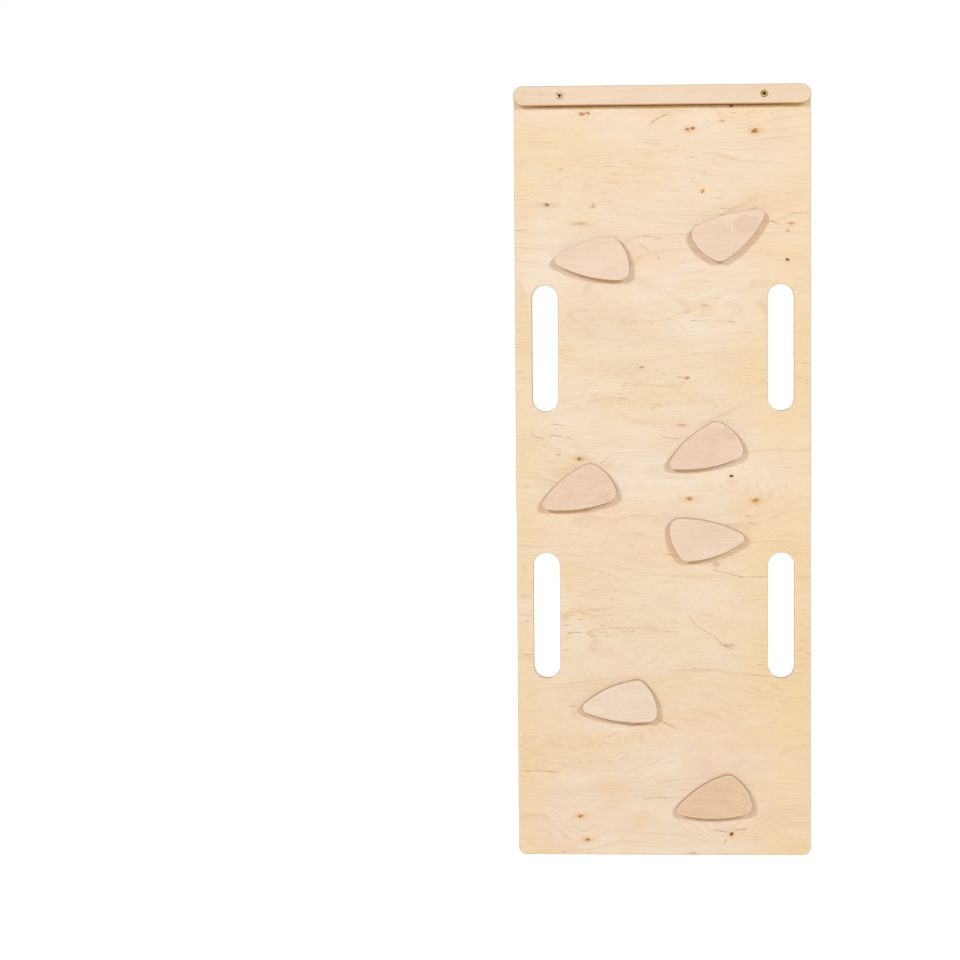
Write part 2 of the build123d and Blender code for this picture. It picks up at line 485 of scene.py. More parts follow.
# each hold has a veneer of its own, and two have a heartwood patch
holdLooks = {
    1: (holdTone(3.07, 239, 215, 185, ringDepth=0.1), []),
    2: (holdTone(3.41, 238, 212, 180), [
        mark(119, 903, 20, 13, "heart", halo=0.0, swirl=0.3, reach=0.5, patch=0.6),
        mark(78, 885, 26, 12, "heart", halo=0.0, swirl=0.2, reach=0.6),
    ]),
    3: (holdTone(3.83, 236, 208, 175), [
        mark(95, 609, 12, 11, "heart", halo=0.0, swirl=0.3, reach=0.4, patch=0.8),
        mark(69, 596, 7, 20, "heart", halo=0.4, swirl=0.25, reach=0.5),
    ]),
    4: (holdTone(4.19, 237, 209, 177, fleck=0.35), []),
    5: (holdTone(4.57, 236, 211, 180, ringDepth=0.14), []),
    6: (holdTone(4.93, 240, 220, 191, ringDepth=0.15), []),
    7: (holdTone(5.29, 234, 203, 164, ringDepth=0.3, figure=(5.0, 1, 12.0)), [
        mark(30, 30, 90, 60, "shade", halo=0.0, swirl=0.7, reach=0.6),
    ]),
}


def darkLine(x1, z1, x2, z2, bow=0.0, wide=1.3, depth=0.5, even=0.4):
    return {"line": (x1, z1, x2, z2), "bow": bow, "wide": wide, "depth": depth, "even": even}


climbCracksAndCleatShade = [
    # painted shade: a dark line across the board just below the cleat, where its shadow falls
    darkLine(-206, 1072.0, 206, 1072.0, wide=2.2, depth=1.0, even=0.9),
    darkLine(-18, 1045, 12, 1060, bow=-2.5, wide=1.4, depth=0.75),
    darkLine(70, 412, 118, 400, wide=0.9, depth=0.75),
    darkLine(106, 401, 149, 401, bow=-1.0, wide=1.2, depth=0.55),
    darkLine(-16, 199, 15, 185, wide=1.2, depth=0.75),
    darkLine(-139, 321, -116, 322, wide=0.9, depth=0.7),
    darkLine(-92, 322, -80, 322, wide=0.8),
    darkLine(-62, 323, -40, 323, wide=0.9, depth=0.65),
    darkLine(0, 323, 21, 323, wide=0.9, depth=0.55),
    darkLine(34, 348, 70, 318, bow=4.0, depth=0.4),
    darkLine(70, 318, 101, 297, bow=3.0, wide=1.5, depth=0.45),
    darkLine(-50, 692, -34, 698, wide=0.9, depth=0.6),
    darkLine(-12, 700, 6, 690, wide=0.9, depth=0.45),
    darkLine(18, 688, 32, 685, wide=0.9),
    darkLine(-204, 121, -149, 119, bow=-1.2, depth=0.6),
    darkLine(-32, 80, 6, 83, bow=-1.5),
    darkLine(-33, 878, -17, 866, bow=1.0, wide=1.1, depth=0.65),
    darkLine(-8, 860, -4, 854, depth=0.7),
    darkLine(-99, 936, -95, 930, depth=0.7),
    darkLine(-29, 889, 1, 884, wide=1.0, depth=0.6),
    darkLine(79, 1061, 88, 1050, bow=1.5, wide=1.2, depth=0.4),
    darkLine(153, 909, 167, 902, depth=0.75),
    darkLine(-162, 622, -141, 619, depth=0.55),
    darkLine(-189, 609, -170, 601, bow=2.5, wide=1.2, depth=0.6),
    darkLine(-162, 606, -141, 603),
    darkLine(-139, 602, -125, 599, wide=1.2),
    darkLine(-7, 605, 25, 600, bow=1.5, wide=1.1, depth=0.45),
    darkLine(-82, 170, -60, 180, bow=-1.0, wide=1.2),
    darkLine(-56, 183, -32, 190, bow=-1.0, wide=1.2, depth=0.6),
    darkLine(-136, 215, -122, 216, depth=0.7),
    darkLine(70, 37, 90, 33, wide=1.8, depth=0.6),
    darkLine(99, 35, 119, 38, bow=-1.0, wide=1.8, depth=0.55),
    darkLine(92, 24, 84, 14, bow=1.5, wide=1.4, depth=0.45),
]

slideMarks = [
    mark(-71, 1046, 12, 6, "smoke", halo=0.4, core=0.2, pith=0.6, swirl=0.1, reach=0.04),
    mark(34, 893, 9, 4, "smoke", halo=0.35, core=0.2),
    mark(-65, 780, 5, 4, "smoke", halo=0.25, core=0.3, pith=0.3),
    mark(99, 746, 12, 5, "smoke", halo=0.4, core=0.15),
    mark(-117, 630, 10, 4, "rose", halo=0.35, core=0.15),
    mark(-77, 556, 13, 5, halo=0.8, core=0.3, swirl=0.08, reach=0.06),
    mark(-70, 289, 7, 3, "rose", halo=0.4, core=0.2),
    mark(-95, 196, 9, 4, "smoke", halo=0.4, core=0.2, swirl=0.05, reach=0.1),
    mark(-86, 69, 12, 9, "smoke", halo=0.45, swirl=0.1, reach=0.05),
    mark(-160, 65, 10, 5, "rose", halo=0.4, core=0.15, swirl=0.06, reach=0.06),
    mark(130, 860, 60, 26, "smoke", halo=0.06, swirl=0.16, reach=0.5),
    mark(120, 706, 55, 24, "smoke", halo=0.06, swirl=0.14, reach=0.5),
    mark(-120, 410, 70, 26, "smoke", halo=0.06, swirl=0.18, reach=0.5),
    mark(-110, 150, 64, 34, "smoke", halo=0.06, swirl=0.16, reach=0.5),
]


def makeFaceMaterial(name, look, marks=(), cracksAndShadeLine=(), strength=0.35):
    material, wiring, shader = newMaterial(name, 0.5, Specular_IOR_Level=0.35)
    colour, height = veneer(wiring, look, marks, cracksAndShadeLine)
    finishWood(wiring, shader, colour, height, strength, 0.42, 0.6)
    return material


edgeLook = {
    "long": srgb(244, 220, 184),
    "end": srgb(224, 190, 148),
    "glue": srgb(132, 88, 48),
    "void": srgb(84, 56, 34),
    "glueWidth": 0.16,
    # painted shade where hold and cleat edges meet the board
    "seatShade": srgb(118, 80, 44),
    "seatShadeReach": 0.0026,
    # painted shade in the screw bores and round the screw-head rims
    "screwShade": srgb(64, 46, 28),
    "waviness": 0.00035,
    "nickDepth": -0.0222,
    "boreShadeStart": 0.0058,
    "boreShadeEnd": 0.007,
}

edgeNoises = {
    "wave": dict(stretch=(22.0, 0.0, 22.0)),
    "plyTone": dict(stretch=(1, 1.37, 1), detail=0.0),
    "rays": dict(stretch=(900.0, 420.0, 900.0)),
    "mottle": dict(stretch=(60.0, 300.0, 60.0), detail=3.0),
    "gaps": dict(stretch=(55.0, 900.0, 55.0), detail=1.0, offset=(3.0, 0, 8.0)),
    "fibre": dict(stretch=(22.0, 0.0, 700.0), detail=3.0, roughness=0.65),
}

edgeShares = {
    "endness": (0.15, 0.9),
    "plyTone": (0.3, 0.7, 0.0, 0.35),
    "rays": (0.5, 0.8, 0.0, 0.25),
    "mottle": (0.4, 0.75, 0.0, 0.3),
    "gaps": (0.745, 0.765),
    "underSkin": (0.0, 0.14, 0.8, 0.0),
    "fibre": (0.45, 0.8, 0.0, 0.3),
}


# gaps in the plies that the cutter opened: places round the holds in millimetres, and their size
holdNicks = (
    (-121.6, 549.5, 2.2),
    (-12.2, 219.0, 2.6),
    (66.0, 104.5, 2.2),
    (37.0, 479.5, 1.6),
    (14.0, 479.5, 2.0),
)


# how far a place is from the axis of the nearest cleat screw
def fromScrew(wiring, x, z):
    across = wiring.minus(wiring.math("ABSOLUTE", x), screwAcross)
    return wiring.vector("LENGTH", wiring.point(across, 0.0, wiring.minus(z, screwRise)))


# thirteen plies through the sheet; each shows long or end grain by the way the edge faces
def makeEdgeMaterial(name, faceTone, shadeTone, skinShare, seatShade=0.0, nicks=()):
    material, wiring, shader = newMaterial(name, 0.6, Specular_IOR_Level=0.3)
    place = wiring.here()
    x, y, z = wiring.parts(place)
    wave = wiring.noise(place, **edgeNoises["wave"])[0]
    depth = wiring.timesPlus(wiring.minus(wave, 0.5), edgeLook["waviness"], y)
    sheets = wiring.timesPlus(depth, 1 / sheetThickness, 1.5)
    plies = wiring.times(wiring.math("FRACT", sheets), plyCount)
    index = wiring.math("FLOOR", plies)
    inside = wiring.math("FRACT", plies)
    crossed = wiring.math("MODULO", index, 2.0)
    normal = wiring.parts(wiring.node("ShaderNodeNewGeometry").outputs["Normal"])
    sideways = wiring.math("ABSOLUTE", normal[0])
    upright = wiring.math("ABSOLUTE", normal[2])
    endness = wiring.node("ShaderNodeMix", {0: crossed, 2: sideways, 3: upright}).outputs[0]
    colour = wiring.tint(wiring.ramp(endness, *edgeShares["endness"]), edgeLook["long"], edgeLook["end"])
    plyTone = wiring.noise(wiring.point(0.0, index, 0.0), **edgeNoises["plyTone"])[0]
    colour = wiring.tint(wiring.ramp(plyTone, *edgeShares["plyTone"]), colour, edgeLook["end"])
    rays = wiring.noise(place, **edgeNoises["rays"])[0]
    colour = wiring.tint(wiring.ramp(rays, *edgeShares["rays"]), colour, edgeLook["glue"])
    mottle = wiring.noise(place, **edgeNoises["mottle"])[0]
    colour = wiring.tint(wiring.ramp(mottle, *edgeShares["mottle"]), colour, edgeLook["end"])
    toEdge = wiring.math("MINIMUM", inside, wiring.minus(1.0, inside))
    glue = wiring.ramp(toEdge, 0.02, edgeLook["glueWidth"], 0.55, 0.0)
    colour = wiring.tint(glue, colour, edgeLook["glue"])
    gaps = wiring.noise(place, **edgeNoises["gaps"])[0]
    voids = wiring.ramp(gaps, *edgeShares["gaps"])
    for nickX, nickZ, size in nicks:
        middle = (nickX * millimetre, edgeLook["nickDepth"], nickZ * millimetre)
        away = wiring.vector("SUBTRACT", place, middle)
        away = wiring.vector("MULTIPLY", away, (1.0, 0.8, 1.0))
        away = wiring.vector("LENGTH", away)
        away = wiring.timesPlus(wiring.minus(rays, 0.5), 0.002, away)
        nick = wiring.ramp(away, size * 0.7 * millimetre, size * millimetre, 1.0, 0.0)
        voids = wiring.math("MAXIMUM", voids, nick)
    colour = wiring.tint(voids, colour, edgeLook["void"])
    nearFace = wiring.math("MINIMUM", plies, wiring.minus(float(plyCount), plies))
    skin = wiring.ramp(nearFace, skinShare - 0.05, skinShare + 0.1, 1.0, 0.0)
    underSkin = wiring.math("ABSOLUTE", wiring.minus(nearFace, skinShare + 0.12))
    colour = wiring.tint(wiring.ramp(underSkin, *edgeShares["underSkin"]), colour, edgeLook["glue"])
    fibre = wiring.noise(place, **edgeNoises["fibre"])[0]
    face = wiring.tint(wiring.ramp(fibre, *edgeShares["fibre"]), faceTone, shadeTone)
    colour = wiring.tint(skin, colour, face)
    # painted shade: hold and cleat edges darken within a few millimetres of the face that sits on the board
    if seatShade:
        out = wiring.math("ABSOLUTE", y)
        seatShadeMask = wiring.ramp(out, sheetThickness / 2, sheetThickness / 2 + edgeLook["seatShadeReach"], seatShade, 0.0)
        colour = wiring.tint(seatShadeMask, colour, edgeLook["seatShade"])
        # painted shade: the bore walls round each cleat screw are darkened
        away = fromScrew(wiring, x, z)
        bored = wiring.ramp(away, edgeLook["boreShadeStart"], edgeLook["boreShadeEnd"], 0.9, 0.0)
        colour = wiring.tint(bored, colour, edgeLook["screwShade"])
    height = wiring.timesPlus(glue, -0.6, wiring.times(rays, 0.35))
    height = wiring.timesPlus(voids, -2.0, height)
    finishWood(wiring, shader, colour, height, 0.3, 0.5, 0.68)
    return material


# distances within which points are joined: along a swept rim, and where a face meets it
weldReach = 1e-6
closeReach = 2e-6

# a face whose normal is this near to straight out gets the veneer, the rest the edge
flatNormal = 0.9999


# an empty geometry tree and the inputs that a piece may set
def newTree(name, floats, counts, materials):
    tree = bpy.data.node_groups.new(name, "GeometryNodeTree")
    face = tree.interface
    face.new_socket("Geometry", in_out="INPUT", socket_type="NodeSocketGeometry")
    for kind, labels in (("Float", floats), ("Int", counts), ("Material", materials)):
        for label in labels:
            face.new_socket(label, in_out="INPUT", socket_type="NodeSocket" + kind)
    face.new_socket("Geometry", in_out="OUTPUT", socket_type="NodeSocketGeometry")
    return tree


def dress(wiring, made, material):
    return wiring.shape("SetMaterial", {"Geometry": made, "Material": material})


def weld(wiring, made, reach):
    return wiring.shape("MergeByDistance", {"Geometry": made, "Distance": reach})


# sweeps a sanded edge round every loop of an outline and closes both faces
def makePanelTree():
    floats = ("Thickness", "Front Round", "Back Round", "Drill Radius", "Drill Head", "Drill Turn")
    tree = newTree("sandedPanel", floats, ("Round Steps",), ("Front", "Back", "Edge"))
    wiring = Wiring(tree)
    given = wiring.node("NodeGroupInput").outputs
    steps = given["Round Steps"]
    half = wiring.times(given["Thickness"], 0.5)

    # the section of the edge: a quarter round from each face down to the straight part
    perRound = wiring.math("ADD", steps, 1.0)
    count = wiring.times(perRound, 2.0)
    strip = wiring.shape("MeshLine", {"Count": count})
    index = wiring.shape("InputIndex").outputs[0]
    last = wiring.minus(count, 1.0)
    isBack = wiring.math("GREATER_THAN", index, wiring.math("ADD", steps, 0.5))
    fromEnd = wiring.minus(last, index)
    stepHere = wiring.math("ADD", wiring.times(isBack, fromEnd),
                           wiring.times(wiring.minus(1.0, isBack), index))
    turn = wiring.times(wiring.math("DIVIDE", stepHere, steps), math.pi / 2)
    radius = wiring.math("ADD", wiring.times(isBack, given["Back Round"]),
                         wiring.times(wiring.minus(1.0, isBack), given["Front Round"]))
    inset = wiring.times(radius, wiring.minus(1.0, wiring.math("SINE", turn)))
    drop = wiring.times(radius, wiring.minus(1.0, wiring.math("COSINE", turn)))
    rise = wiring.minus(half, drop)
    # the sweep turns the section's Y down, so the front is drawn at negative Y
    side = wiring.timesPlus(isBack, 2.0, -1.0)
    place = wiring.point(wiring.times(inset, -1.0), wiring.times(rise, side), 0.0)
    section = wiring.shape("SetPosition", {"Geometry": strip, "Position": place})
    section = wiring.shape("MeshToCurve", {"Mesh": section})

    outline = wiring.shape("MeshToCurve", {"Mesh": given["Geometry"]})
    outline = wiring.shape("SetCurveNormal", {"Curve": outline}, mode="Z_UP")
    rim = wiring.shape("CurveToMesh", {"Curve": outline, "Profile Curve": section})
    rim = weld(wiring, rim, weldReach)

    # each face is filled from the rim's own free edge, so the two meet point for point
    edgeFaces = wiring.shape("InputMeshEdgeNeighbors").outputs[0]
    free = wiring.math("LESS_THAN", edgeFaces, 1.5)
    height = wiring.parts(wiring.shape("InputPosition").outputs[0])[2]
    faces = []
    for outward in (1, -1):
        onFace = wiring.math("GREATER_THAN", wiring.times(height, float(outward)), 0.0)
        chosen = wiring.times(free, onFace)
        loop = wiring.shape("MeshToCurve", {"Mesh": rim, "Selection": chosen})
        sheet = wiring.shape("FillCurve", {"Curve": loop}, mode="TRIANGLES")
        if outward < 0:
            sheet = wiring.shape("FlipFaces", {"Mesh": sheet})
        lift = wiring.point(0.0, 0.0, wiring.times(half, float(outward)))
        sheet = wiring.shape("Transform", {"Geometry": sheet, "Translation": lift})
        sheet = wiring.shape("SetShadeSmooth", {"Geometry": sheet, "Shade Smooth": False})
        faces.append(sheet)
    edge = wiring.shape("SetShadeSmooth", {"Geometry": rim, "Shade Smooth": True})
    joined = wiring.shape("JoinGeometry")
    for sheet in (*faces, edge):
        wiring.feed(joined.inputs[0], sheet)
    raw = dress(wiring, weld(wiring, joined, closeReach), given["Edge"])
    drilled = drillPanel(wiring, raw, given, half)
    solid = wiring.shape("RealizeInstances", {"Geometry": drilled})
    lean = wiring.parts(wiring.shape("InputNormal").outputs[0])[2]
    for outward, slotName in ((1.0, "Front"), (-1.0, "Back")):
        flat = wiring.math("GREATER_THAN", wiring.times(lean, outward), flatNormal)
        solid = wiring.shape("SetMaterial", {
            "Geometry": solid, "Selection": flat, "Material": given[slotName]})
    wiring.node("NodeGroupOutput", {"Geometry": solid})
    return tree


# sinks a countersunk bore at every loose point of the outline
def drillPanel(wiring, panel, given, half):
    radius, head = given["Drill Radius"], given["Drill Head"]
    sink = wiring.minus(head, radius)
    # the cutter stands this far proud of the face, and both cutters have this many sides
    extra = 0.0005
    sides = 64
    cone = wiring.shape("MeshCone", {
        "Vertices": sides,
        "Radius Bottom": radius,
        "Radius Top": wiring.math("ADD", head, extra),
        "Depth": wiring.math("ADD", sink, extra),
    })
    lift = wiring.point(0.0, 0.0, wiring.minus(half, sink))
    cone = wiring.shape("Transform", {"Geometry": cone, "Translation": lift})
    depth = wiring.times(half, 3.0)
    shank = wiring.shape("MeshCylinder", {"Vertices": sides, "Radius": radius, "Depth": depth})
    turned = wiring.node("FunctionNodeEulerToRotation", {0: wiring.point(given["Drill Turn"], 0.0, 0.0)})
    cornered = wiring.shape("InputMeshVertexNeighbors").outputs[0]
    loose = wiring.math("LESS_THAN", cornered, 0.5)
    cutters = []
    for cutter in (cone, shank):
        placed = wiring.shape("InstanceOnPoints", {
            "Points": given["Geometry"], "Selection": loose,
            "Instance": cutter, "Rotation": turned})
        placed = wiring.shape("RealizeInstances", {"Geometry": placed})
        cutters.append(dress(wiring, placed, given["Edge"]))
    bored = wiring.shape("MeshBoolean", {"Mesh 1": panel}, operation="DIFFERENCE", solver="EXACT")
    for cutter in cutters:
        wiring.feed(bored.inputs["Mesh 2"], cutter)
    wanted = wiring.math("GREATER_THAN", radius, 0.0)
    return wiring.shape("Switch", {"Switch": wanted, "False": panel, "True": bored}, input_type="GEOMETRY")


# a wire mesh of closed loops; material lies on the left of the way round each loop
def loopMesh(name, loops, loosePoints=()):
    points, wires = [], []
    for loop in loops:
        start = len(points)
        points += [(x, y, 0.0) for x, y in loop]
        wires += [(start + i, start + (i + 1) % len(loop)) for i in range(len(loop))]
    points += [(x, y, 0.0) for x, y in loosePoints]
    mesh = bpy.data.meshes.new(name)
    mesh.from_pydata(points, wires, [])
    return mesh


# runs a tree on a mesh and keeps the result as a plain mesh in the object's own frame
def bakeTree(name, mesh, tree, values, toFrame):
    maker = addObject(name + "_maker", mesh)
    modifier = maker.modifiers.new("make", "NODES")
    modifier.node_group = tree
    for item in tree.interface.items_tree:
        if item.in_out == "INPUT" and item.name in values:
            modifier[item.identifier] = values[item.name]
    result = maker.evaluated_get(bpy.context.evaluated_depsgraph_get())
    made = bpy.data.meshes.new_from_object(result)
    made.transform(toFrame)
    made.name = name
    bpy.data.objects.remove(maker)
    return addObject(name, made)


def arc(centreX, centreY, radius, fromAngle, toAngle, steps):
    angles = [fromAngle + (toAngle - fromAngle) * i / steps for i in range(steps + 1)]
    return [(centreX + radius * math.cos(a), centreY + radius * math.sin(a)) for a in angles]


# anticlockwise, from the lower right corner
def roundedBox(halfWidth, bottom, top, footRadius, headRadius, steps=24):
    quarter = math.pi / 2
    loop = arc(halfWidth - footRadius, bottom + footRadius, footRadius, -quarter, 0, steps)
    loop += arc(halfWidth - headRadius, top - headRadius, headRadius, 0, quarter, steps)
    loop += arc(headRadius - halfWidth, top - headRadius, headRadius, quarter, 2 * quarter, steps)
    loop += arc(footRadius - halfWidth, bottom + footRadius, footRadius, 2 * quarter, 3 * quarter, steps)
    return loop


# a slot with full-round ends along its longer side, anticlockwise
def stadium(centreX, centreY, width, height, steps=48):
    radius = min(width, height) / 2
    if width > height:
        reach = width / 2 - radius
        loop = arc(centreX + reach, centreY, radius, -math.pi / 2, math.pi / 2, steps)
        return loop + arc(centreX - reach, centreY, radius, math.pi / 2, 3 * math.pi / 2, steps)
    reach = height / 2 - radius
    loop = arc(centreX, centreY + reach, radius, 0, math.pi, steps)
    return loop + arc(centreX, centreY - reach, radius, math.pi, 2 * math.pi, steps)


# outlines are drawn as seen from the climbing side: X to the right, up as Y, outward as Z
def facingClimber(depth):
    return Matrix(((1, 0, 0, 0), (0, 0, -1, depth), (0, 1, 0, 0), (0, 0, 0, 1)))


screwLow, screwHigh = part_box("cleat_screw_climbing_side_right")
screwAcross = (screwLow[0] + screwHigh[0]) / 2
screwRise = (screwLow[2] + screwHigh[2]) / 2
panelTree = makePanelTree()
climbFace = makeFaceMaterial("climbingFaceBirch", climbLook, climbMarks, climbCracksAndCleatShade)
slideFace = makeFaceMaterial("slideFaceBirch", slideLook, slideMarks)
holdFaces = {
    number: makeFaceMaterial(f"holdBirch{number}", look, marks)
    for number, (look, marks) in holdLooks.items()
}
cleatFace = makeFaceMaterial("cleatBirch", cleatLook)
boardEdge = makeEdgeMaterial("boardPlyEdge", climbLook["deep"], climbLook["shade"], 0.62)
holdEdge = makeEdgeMaterial("holdPlyEdge", srgb(240, 216, 190), climbLook["shade"], 0.3, 0.8, holdNicks)
cleatEdge = makeEdgeMaterial("cleatPlyEdge", cleatLook["deep"], cleatLook["shade"], 0.55, 0.5)
print("birch materials mixed")

board = {
    "footRadius": 0.012,
    "slotWidth": 0.037,
    "slotLength": 0.180,
    "edgeRound": 0.002,
    "roundSteps": 8,
}

cleatLow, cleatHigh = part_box("cleat_climbing_side")
cleatRadius = (cleatHigh[2] - cleatLow[2]) / 2
cleatFront = -cleatLow[1]


# cuts one piece of plywood in the place of its node, and gives its faces and its edge their materials
def cutPlywood(nodeName, loops, sizes, materials, slotName, drills=(), **values):
    low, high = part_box(nodeName)
    values["Thickness"] = high[1] - low[1]
    values["Round Steps"] = sizes["roundSteps"]
    for end in ("Front", "Back"):
        values.setdefault(end + "_Round", sizes["edgeRound"])
    values = {label.replace("_", " "): value for label, value in values.items()}
    values.update(zip(("Front", "Back", "Edge"), materials))
    mesh = loopMesh(nodeName + "Outline", loops, drills)
    piece = bakeTree("plywood_" + nodeName, mesh, panelTree, values, facingClimber((low[1] + high[1]) / 2))
    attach(piece, "root")
    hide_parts(nodeName)
    return piece


def makeBoard():
    low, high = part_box("board")
    loops = [roundedBox(high[0], low[2], high[2], board["footRadius"], cleatRadius)]
    for opening in record["physics"]["openings"]:
        corners = opening["box_m"]
        centreX = (corners[0][0] + corners[1][0]) / 2
        centreZ = (corners[0][2] + corners[1][2]) / 2
        slot = stadium(centreX, centreZ, board["slotWidth"], board["slotLength"])
        loops.append(slot[::-1])
    return cutPlywood("board", loops, board, (climbFace, slideFace, boardEdge), "board_plywood")


# the middle of each screw head on one side's cleat, from the CAD boxes
def screwPlaces(side):
    places = []
    for end in ("left", "right"):
        low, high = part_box(f"cleat_screw_{side}_{end}")
        headY = low[1] if side == "climbing_side" else high[1]
        places.append(((low[0] + high[0]) / 2, headY, (low[2] + high[2]) / 2))
    return places


cleat = {
    "edgeRound": 0.002,
    "seatRound": 0.0008,
    "roundSteps": 8,
}


def makeCleat(side, outward):
    nodeName = f"cleat_{side}"
    low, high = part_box(nodeName)
    loop = stadium(0.0, (low[2] + high[2]) / 2, high[0] - low[0], high[2] - low[2])
    seat = {"Back_Round" if outward < 0 else "Front_Round": cleat["seatRound"]}
    return cutPlywood(
        nodeName, [loop], cleat, (cleatFace, cleatFace, cleatEdge), "cleat_plywood",
        drills=[(x, z) for x, y, z in screwPlaces(side)],
        Drill_Radius=screw["shankRadius"] + screw["clearance"],
        Drill_Head=screw["headRadius"] + screw["clearance"],
        Drill_Turn=0.0 if outward < 0 else math.pi,
        **seat,
    )


hold = {
    # centre and radius of each corner in metres, tip to the left, clockwise
    "corners": ((-0.054, -0.001, 0.008), (0.019, 0.0155, 0.014), (0.030, -0.0185, 0.014)),
    "bows": (0.148, 0.064, 0.197),
    "turns": (2, 210, 25, 23, 182, 7, 16),
    "edgeRound": 0.0015,
    "seatRound": 0.0008,
    "roundSteps": 8,
    "cornerSteps": 20,
    "sideSteps": 48,
}


# three rounded corners joined by three bowed sides, turned and taken anticlockwise
def holdLoop(turn):
    corners = [Vector(corner[:2]) for corner in hold["corners"]]
    radii = [corner[2] for corner in hold["corners"]]
    centres = []
    for i, bow in enumerate(hold["bows"]):
        start, end = corners[i], corners[(i + 1) % 3]
        startReach, endReach = bow - radii[i], bow - radii[(i + 1) % 3]
        way = end - start
        span = way.length
        way.normalize()
        along = (startReach**2 - endReach**2 + span**2) / (2 * span)
        aside = math.sqrt(startReach**2 - along**2)
        centres.append(start + way * along + Vector((way.y, -way.x)) * aside)
    loop = []
    for i in range(3):
        before, after = centres[i - 1], centres[i]
        enter = (corners[i] - before).normalized()
        leave = (corners[i] - after).normalized()
        loop += sweep(corners[i], radii[i], enter, leave, hold["cornerSteps"])
        following = (corners[(i + 1) % 3] - after).normalized()
        loop += sweep(after, hold["bows"][i], leave, following, hold["sideSteps"])
    spin = Matrix.Rotation(math.radians(turn), 2)
    return [tuple(spin @ point) for point in reversed(loop)]


# points on the short arc from one direction to the other, without the last
def sweep(centre, radius, start, end, steps):
    angle = start.angle_signed(end)
    return [centre + Matrix.Rotation(-angle * i / steps, 2) @ start * radius for i in range(steps)]


def makeHold(number):
    nodeName = f"hold_{number}"
    low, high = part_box(nodeName)
    loop = holdLoop(hold["turns"][number - 1])
    middleX = (min(x for x, y in loop) + max(x for x, y in loop)) / 2
    middleY = (min(y for x, y in loop) + max(y for x, y in loop)) / 2
    shiftX = (low[0] + high[0]) / 2 - middleX
    shiftY = (low[2] + high[2]) / 2 - middleY
    loop = [(x + shiftX, y + shiftY) for x, y in loop]
    materials = (holdFaces[number], holdFaces[number], holdEdge)
    return cutPlywood(nodeName, [loop], hold, materials, "hold_plywood", Back_Round=hold["seatRound"])


screw = {
    "headRadius": 0.005,
    "shankRadius": 0.0025,
    "rootRadius": 0.0018,
    "clearance": 0.00035,
    "headRim": 0.0004,
    "rimBevel": 0.0003,
    "rimDrop": 0.0001,
    "rimUnder": 0.0002,
    "rootShares": (0.3, 0.7),
    "threadStart": 0.0072,
    "pointLength": 0.004,
    "pitch": 0.0013,
    "turns": (12, 50, 33, 78),
    "recessSpan": 0.0052,
    "recessWidth": 0.0012,
    "recessDepth": 0.0018,
    "tickSpan": 0.0044,
    "tickWidth": 0.0005,
    "tickDepth": 0.0007,
}


# half the section of a countersunk screw, head up, from the head's middle to the point
def screwOutline(length):
    head, shank, root = screw["headRadius"], screw["shankRadius"], screw["rootRadius"]
    sink = head - shank
    points = [
        (0.0, 0.0),
        (head - screw["rimBevel"], 0.0),
        (head, -screw["rimDrop"]),
        (head - screw["rimUnder"], -screw["headRim"]),
    ]
    points += [(shank, -sink), (shank, -screw["threadStart"])]
    depth = screw["threadStart"]
    end = length - screw["pointLength"]
    while depth + screw["pitch"] < end:
        points += [(root, -depth - share * screw["pitch"]) for share in screw["rootShares"]]
        depth += screw["pitch"]
        points.append((shank, -depth))
    points += [(root, -end), (0.0, -length)]
    return points


# turns a half section about its axis, cuts the driver recess and sets one at every loose point
def makeScrewTree():
    floats = ("Recess Span", "Recess Width", "Recess Depth", "Tick Span", "Tick Width", "Tick Depth")
    tree = newTree("woodScrew", floats, (), ("Metal",))
    wiring = Wiring(tree)
    given = wiring.node("NodeGroupInput").outputs

    # the section runs round a rail of this radius, set back by as much, so it turns about the middle
    railRadius = 0.02
    railSteps = 72
    section = wiring.shape("MeshToCurve", {"Mesh": given["Geometry"]})
    section = wiring.shape("Transform", {"Geometry": section, "Translation": (-railRadius, 0.0, 0.0)})
    rail = wiring.shape("CurvePrimitiveCircle", {"Resolution": railSteps, "Radius": railRadius})
    rail = wiring.shape("SetCurveNormal", {"Curve": rail}, mode="Z_UP")
    body = wiring.shape("CurveToMesh", {"Curve": rail, "Profile Curve": section})
    body = dress(wiring, weld(wiring, body, weldReach), given["Metal"])

    cut = wiring.shape("MeshBoolean", {"Mesh 1": body}, operation="DIFFERENCE", solver="EXACT")
    for label, turns in (("Recess", (0, 90)), ("Tick", (45, 135))):
        depth = wiring.times(given[label + " Depth"], 2.0)
        size = wiring.point(given[label + " Span"], given[label + " Width"], depth)
        for turn in turns:
            bar = wiring.shape("MeshCube", {"Size": size})
            bar = wiring.shape("Transform", {
                "Geometry": bar, "Rotation": (0.0, 0.0, math.radians(turn))})
            bar = dress(wiring, bar, given["Metal"])
            wiring.feed(cut.inputs["Mesh 2"], bar)

    cornered = wiring.shape("InputMeshVertexNeighbors").outputs[0]
    loose = wiring.math("LESS_THAN", cornered, 0.5)
    facing = wiring.shape("InputNamedAttribute", {"Name": "facing"}, data_type="FLOAT_VECTOR")
    facing = wiring.node("FunctionNodeEulerToRotation", {0: facing})
    placed = wiring.shape("InstanceOnPoints", {
        "Points": given["Geometry"], "Selection": loose,
        "Instance": cut, "Rotation": facing})
    solid = wiring.shape("RealizeInstances", {"Geometry": placed})
    solid = dress(wiring, solid, given["Metal"])
    wiring.node("NodeGroupOutput", {"Geometry": solid})
    return tree


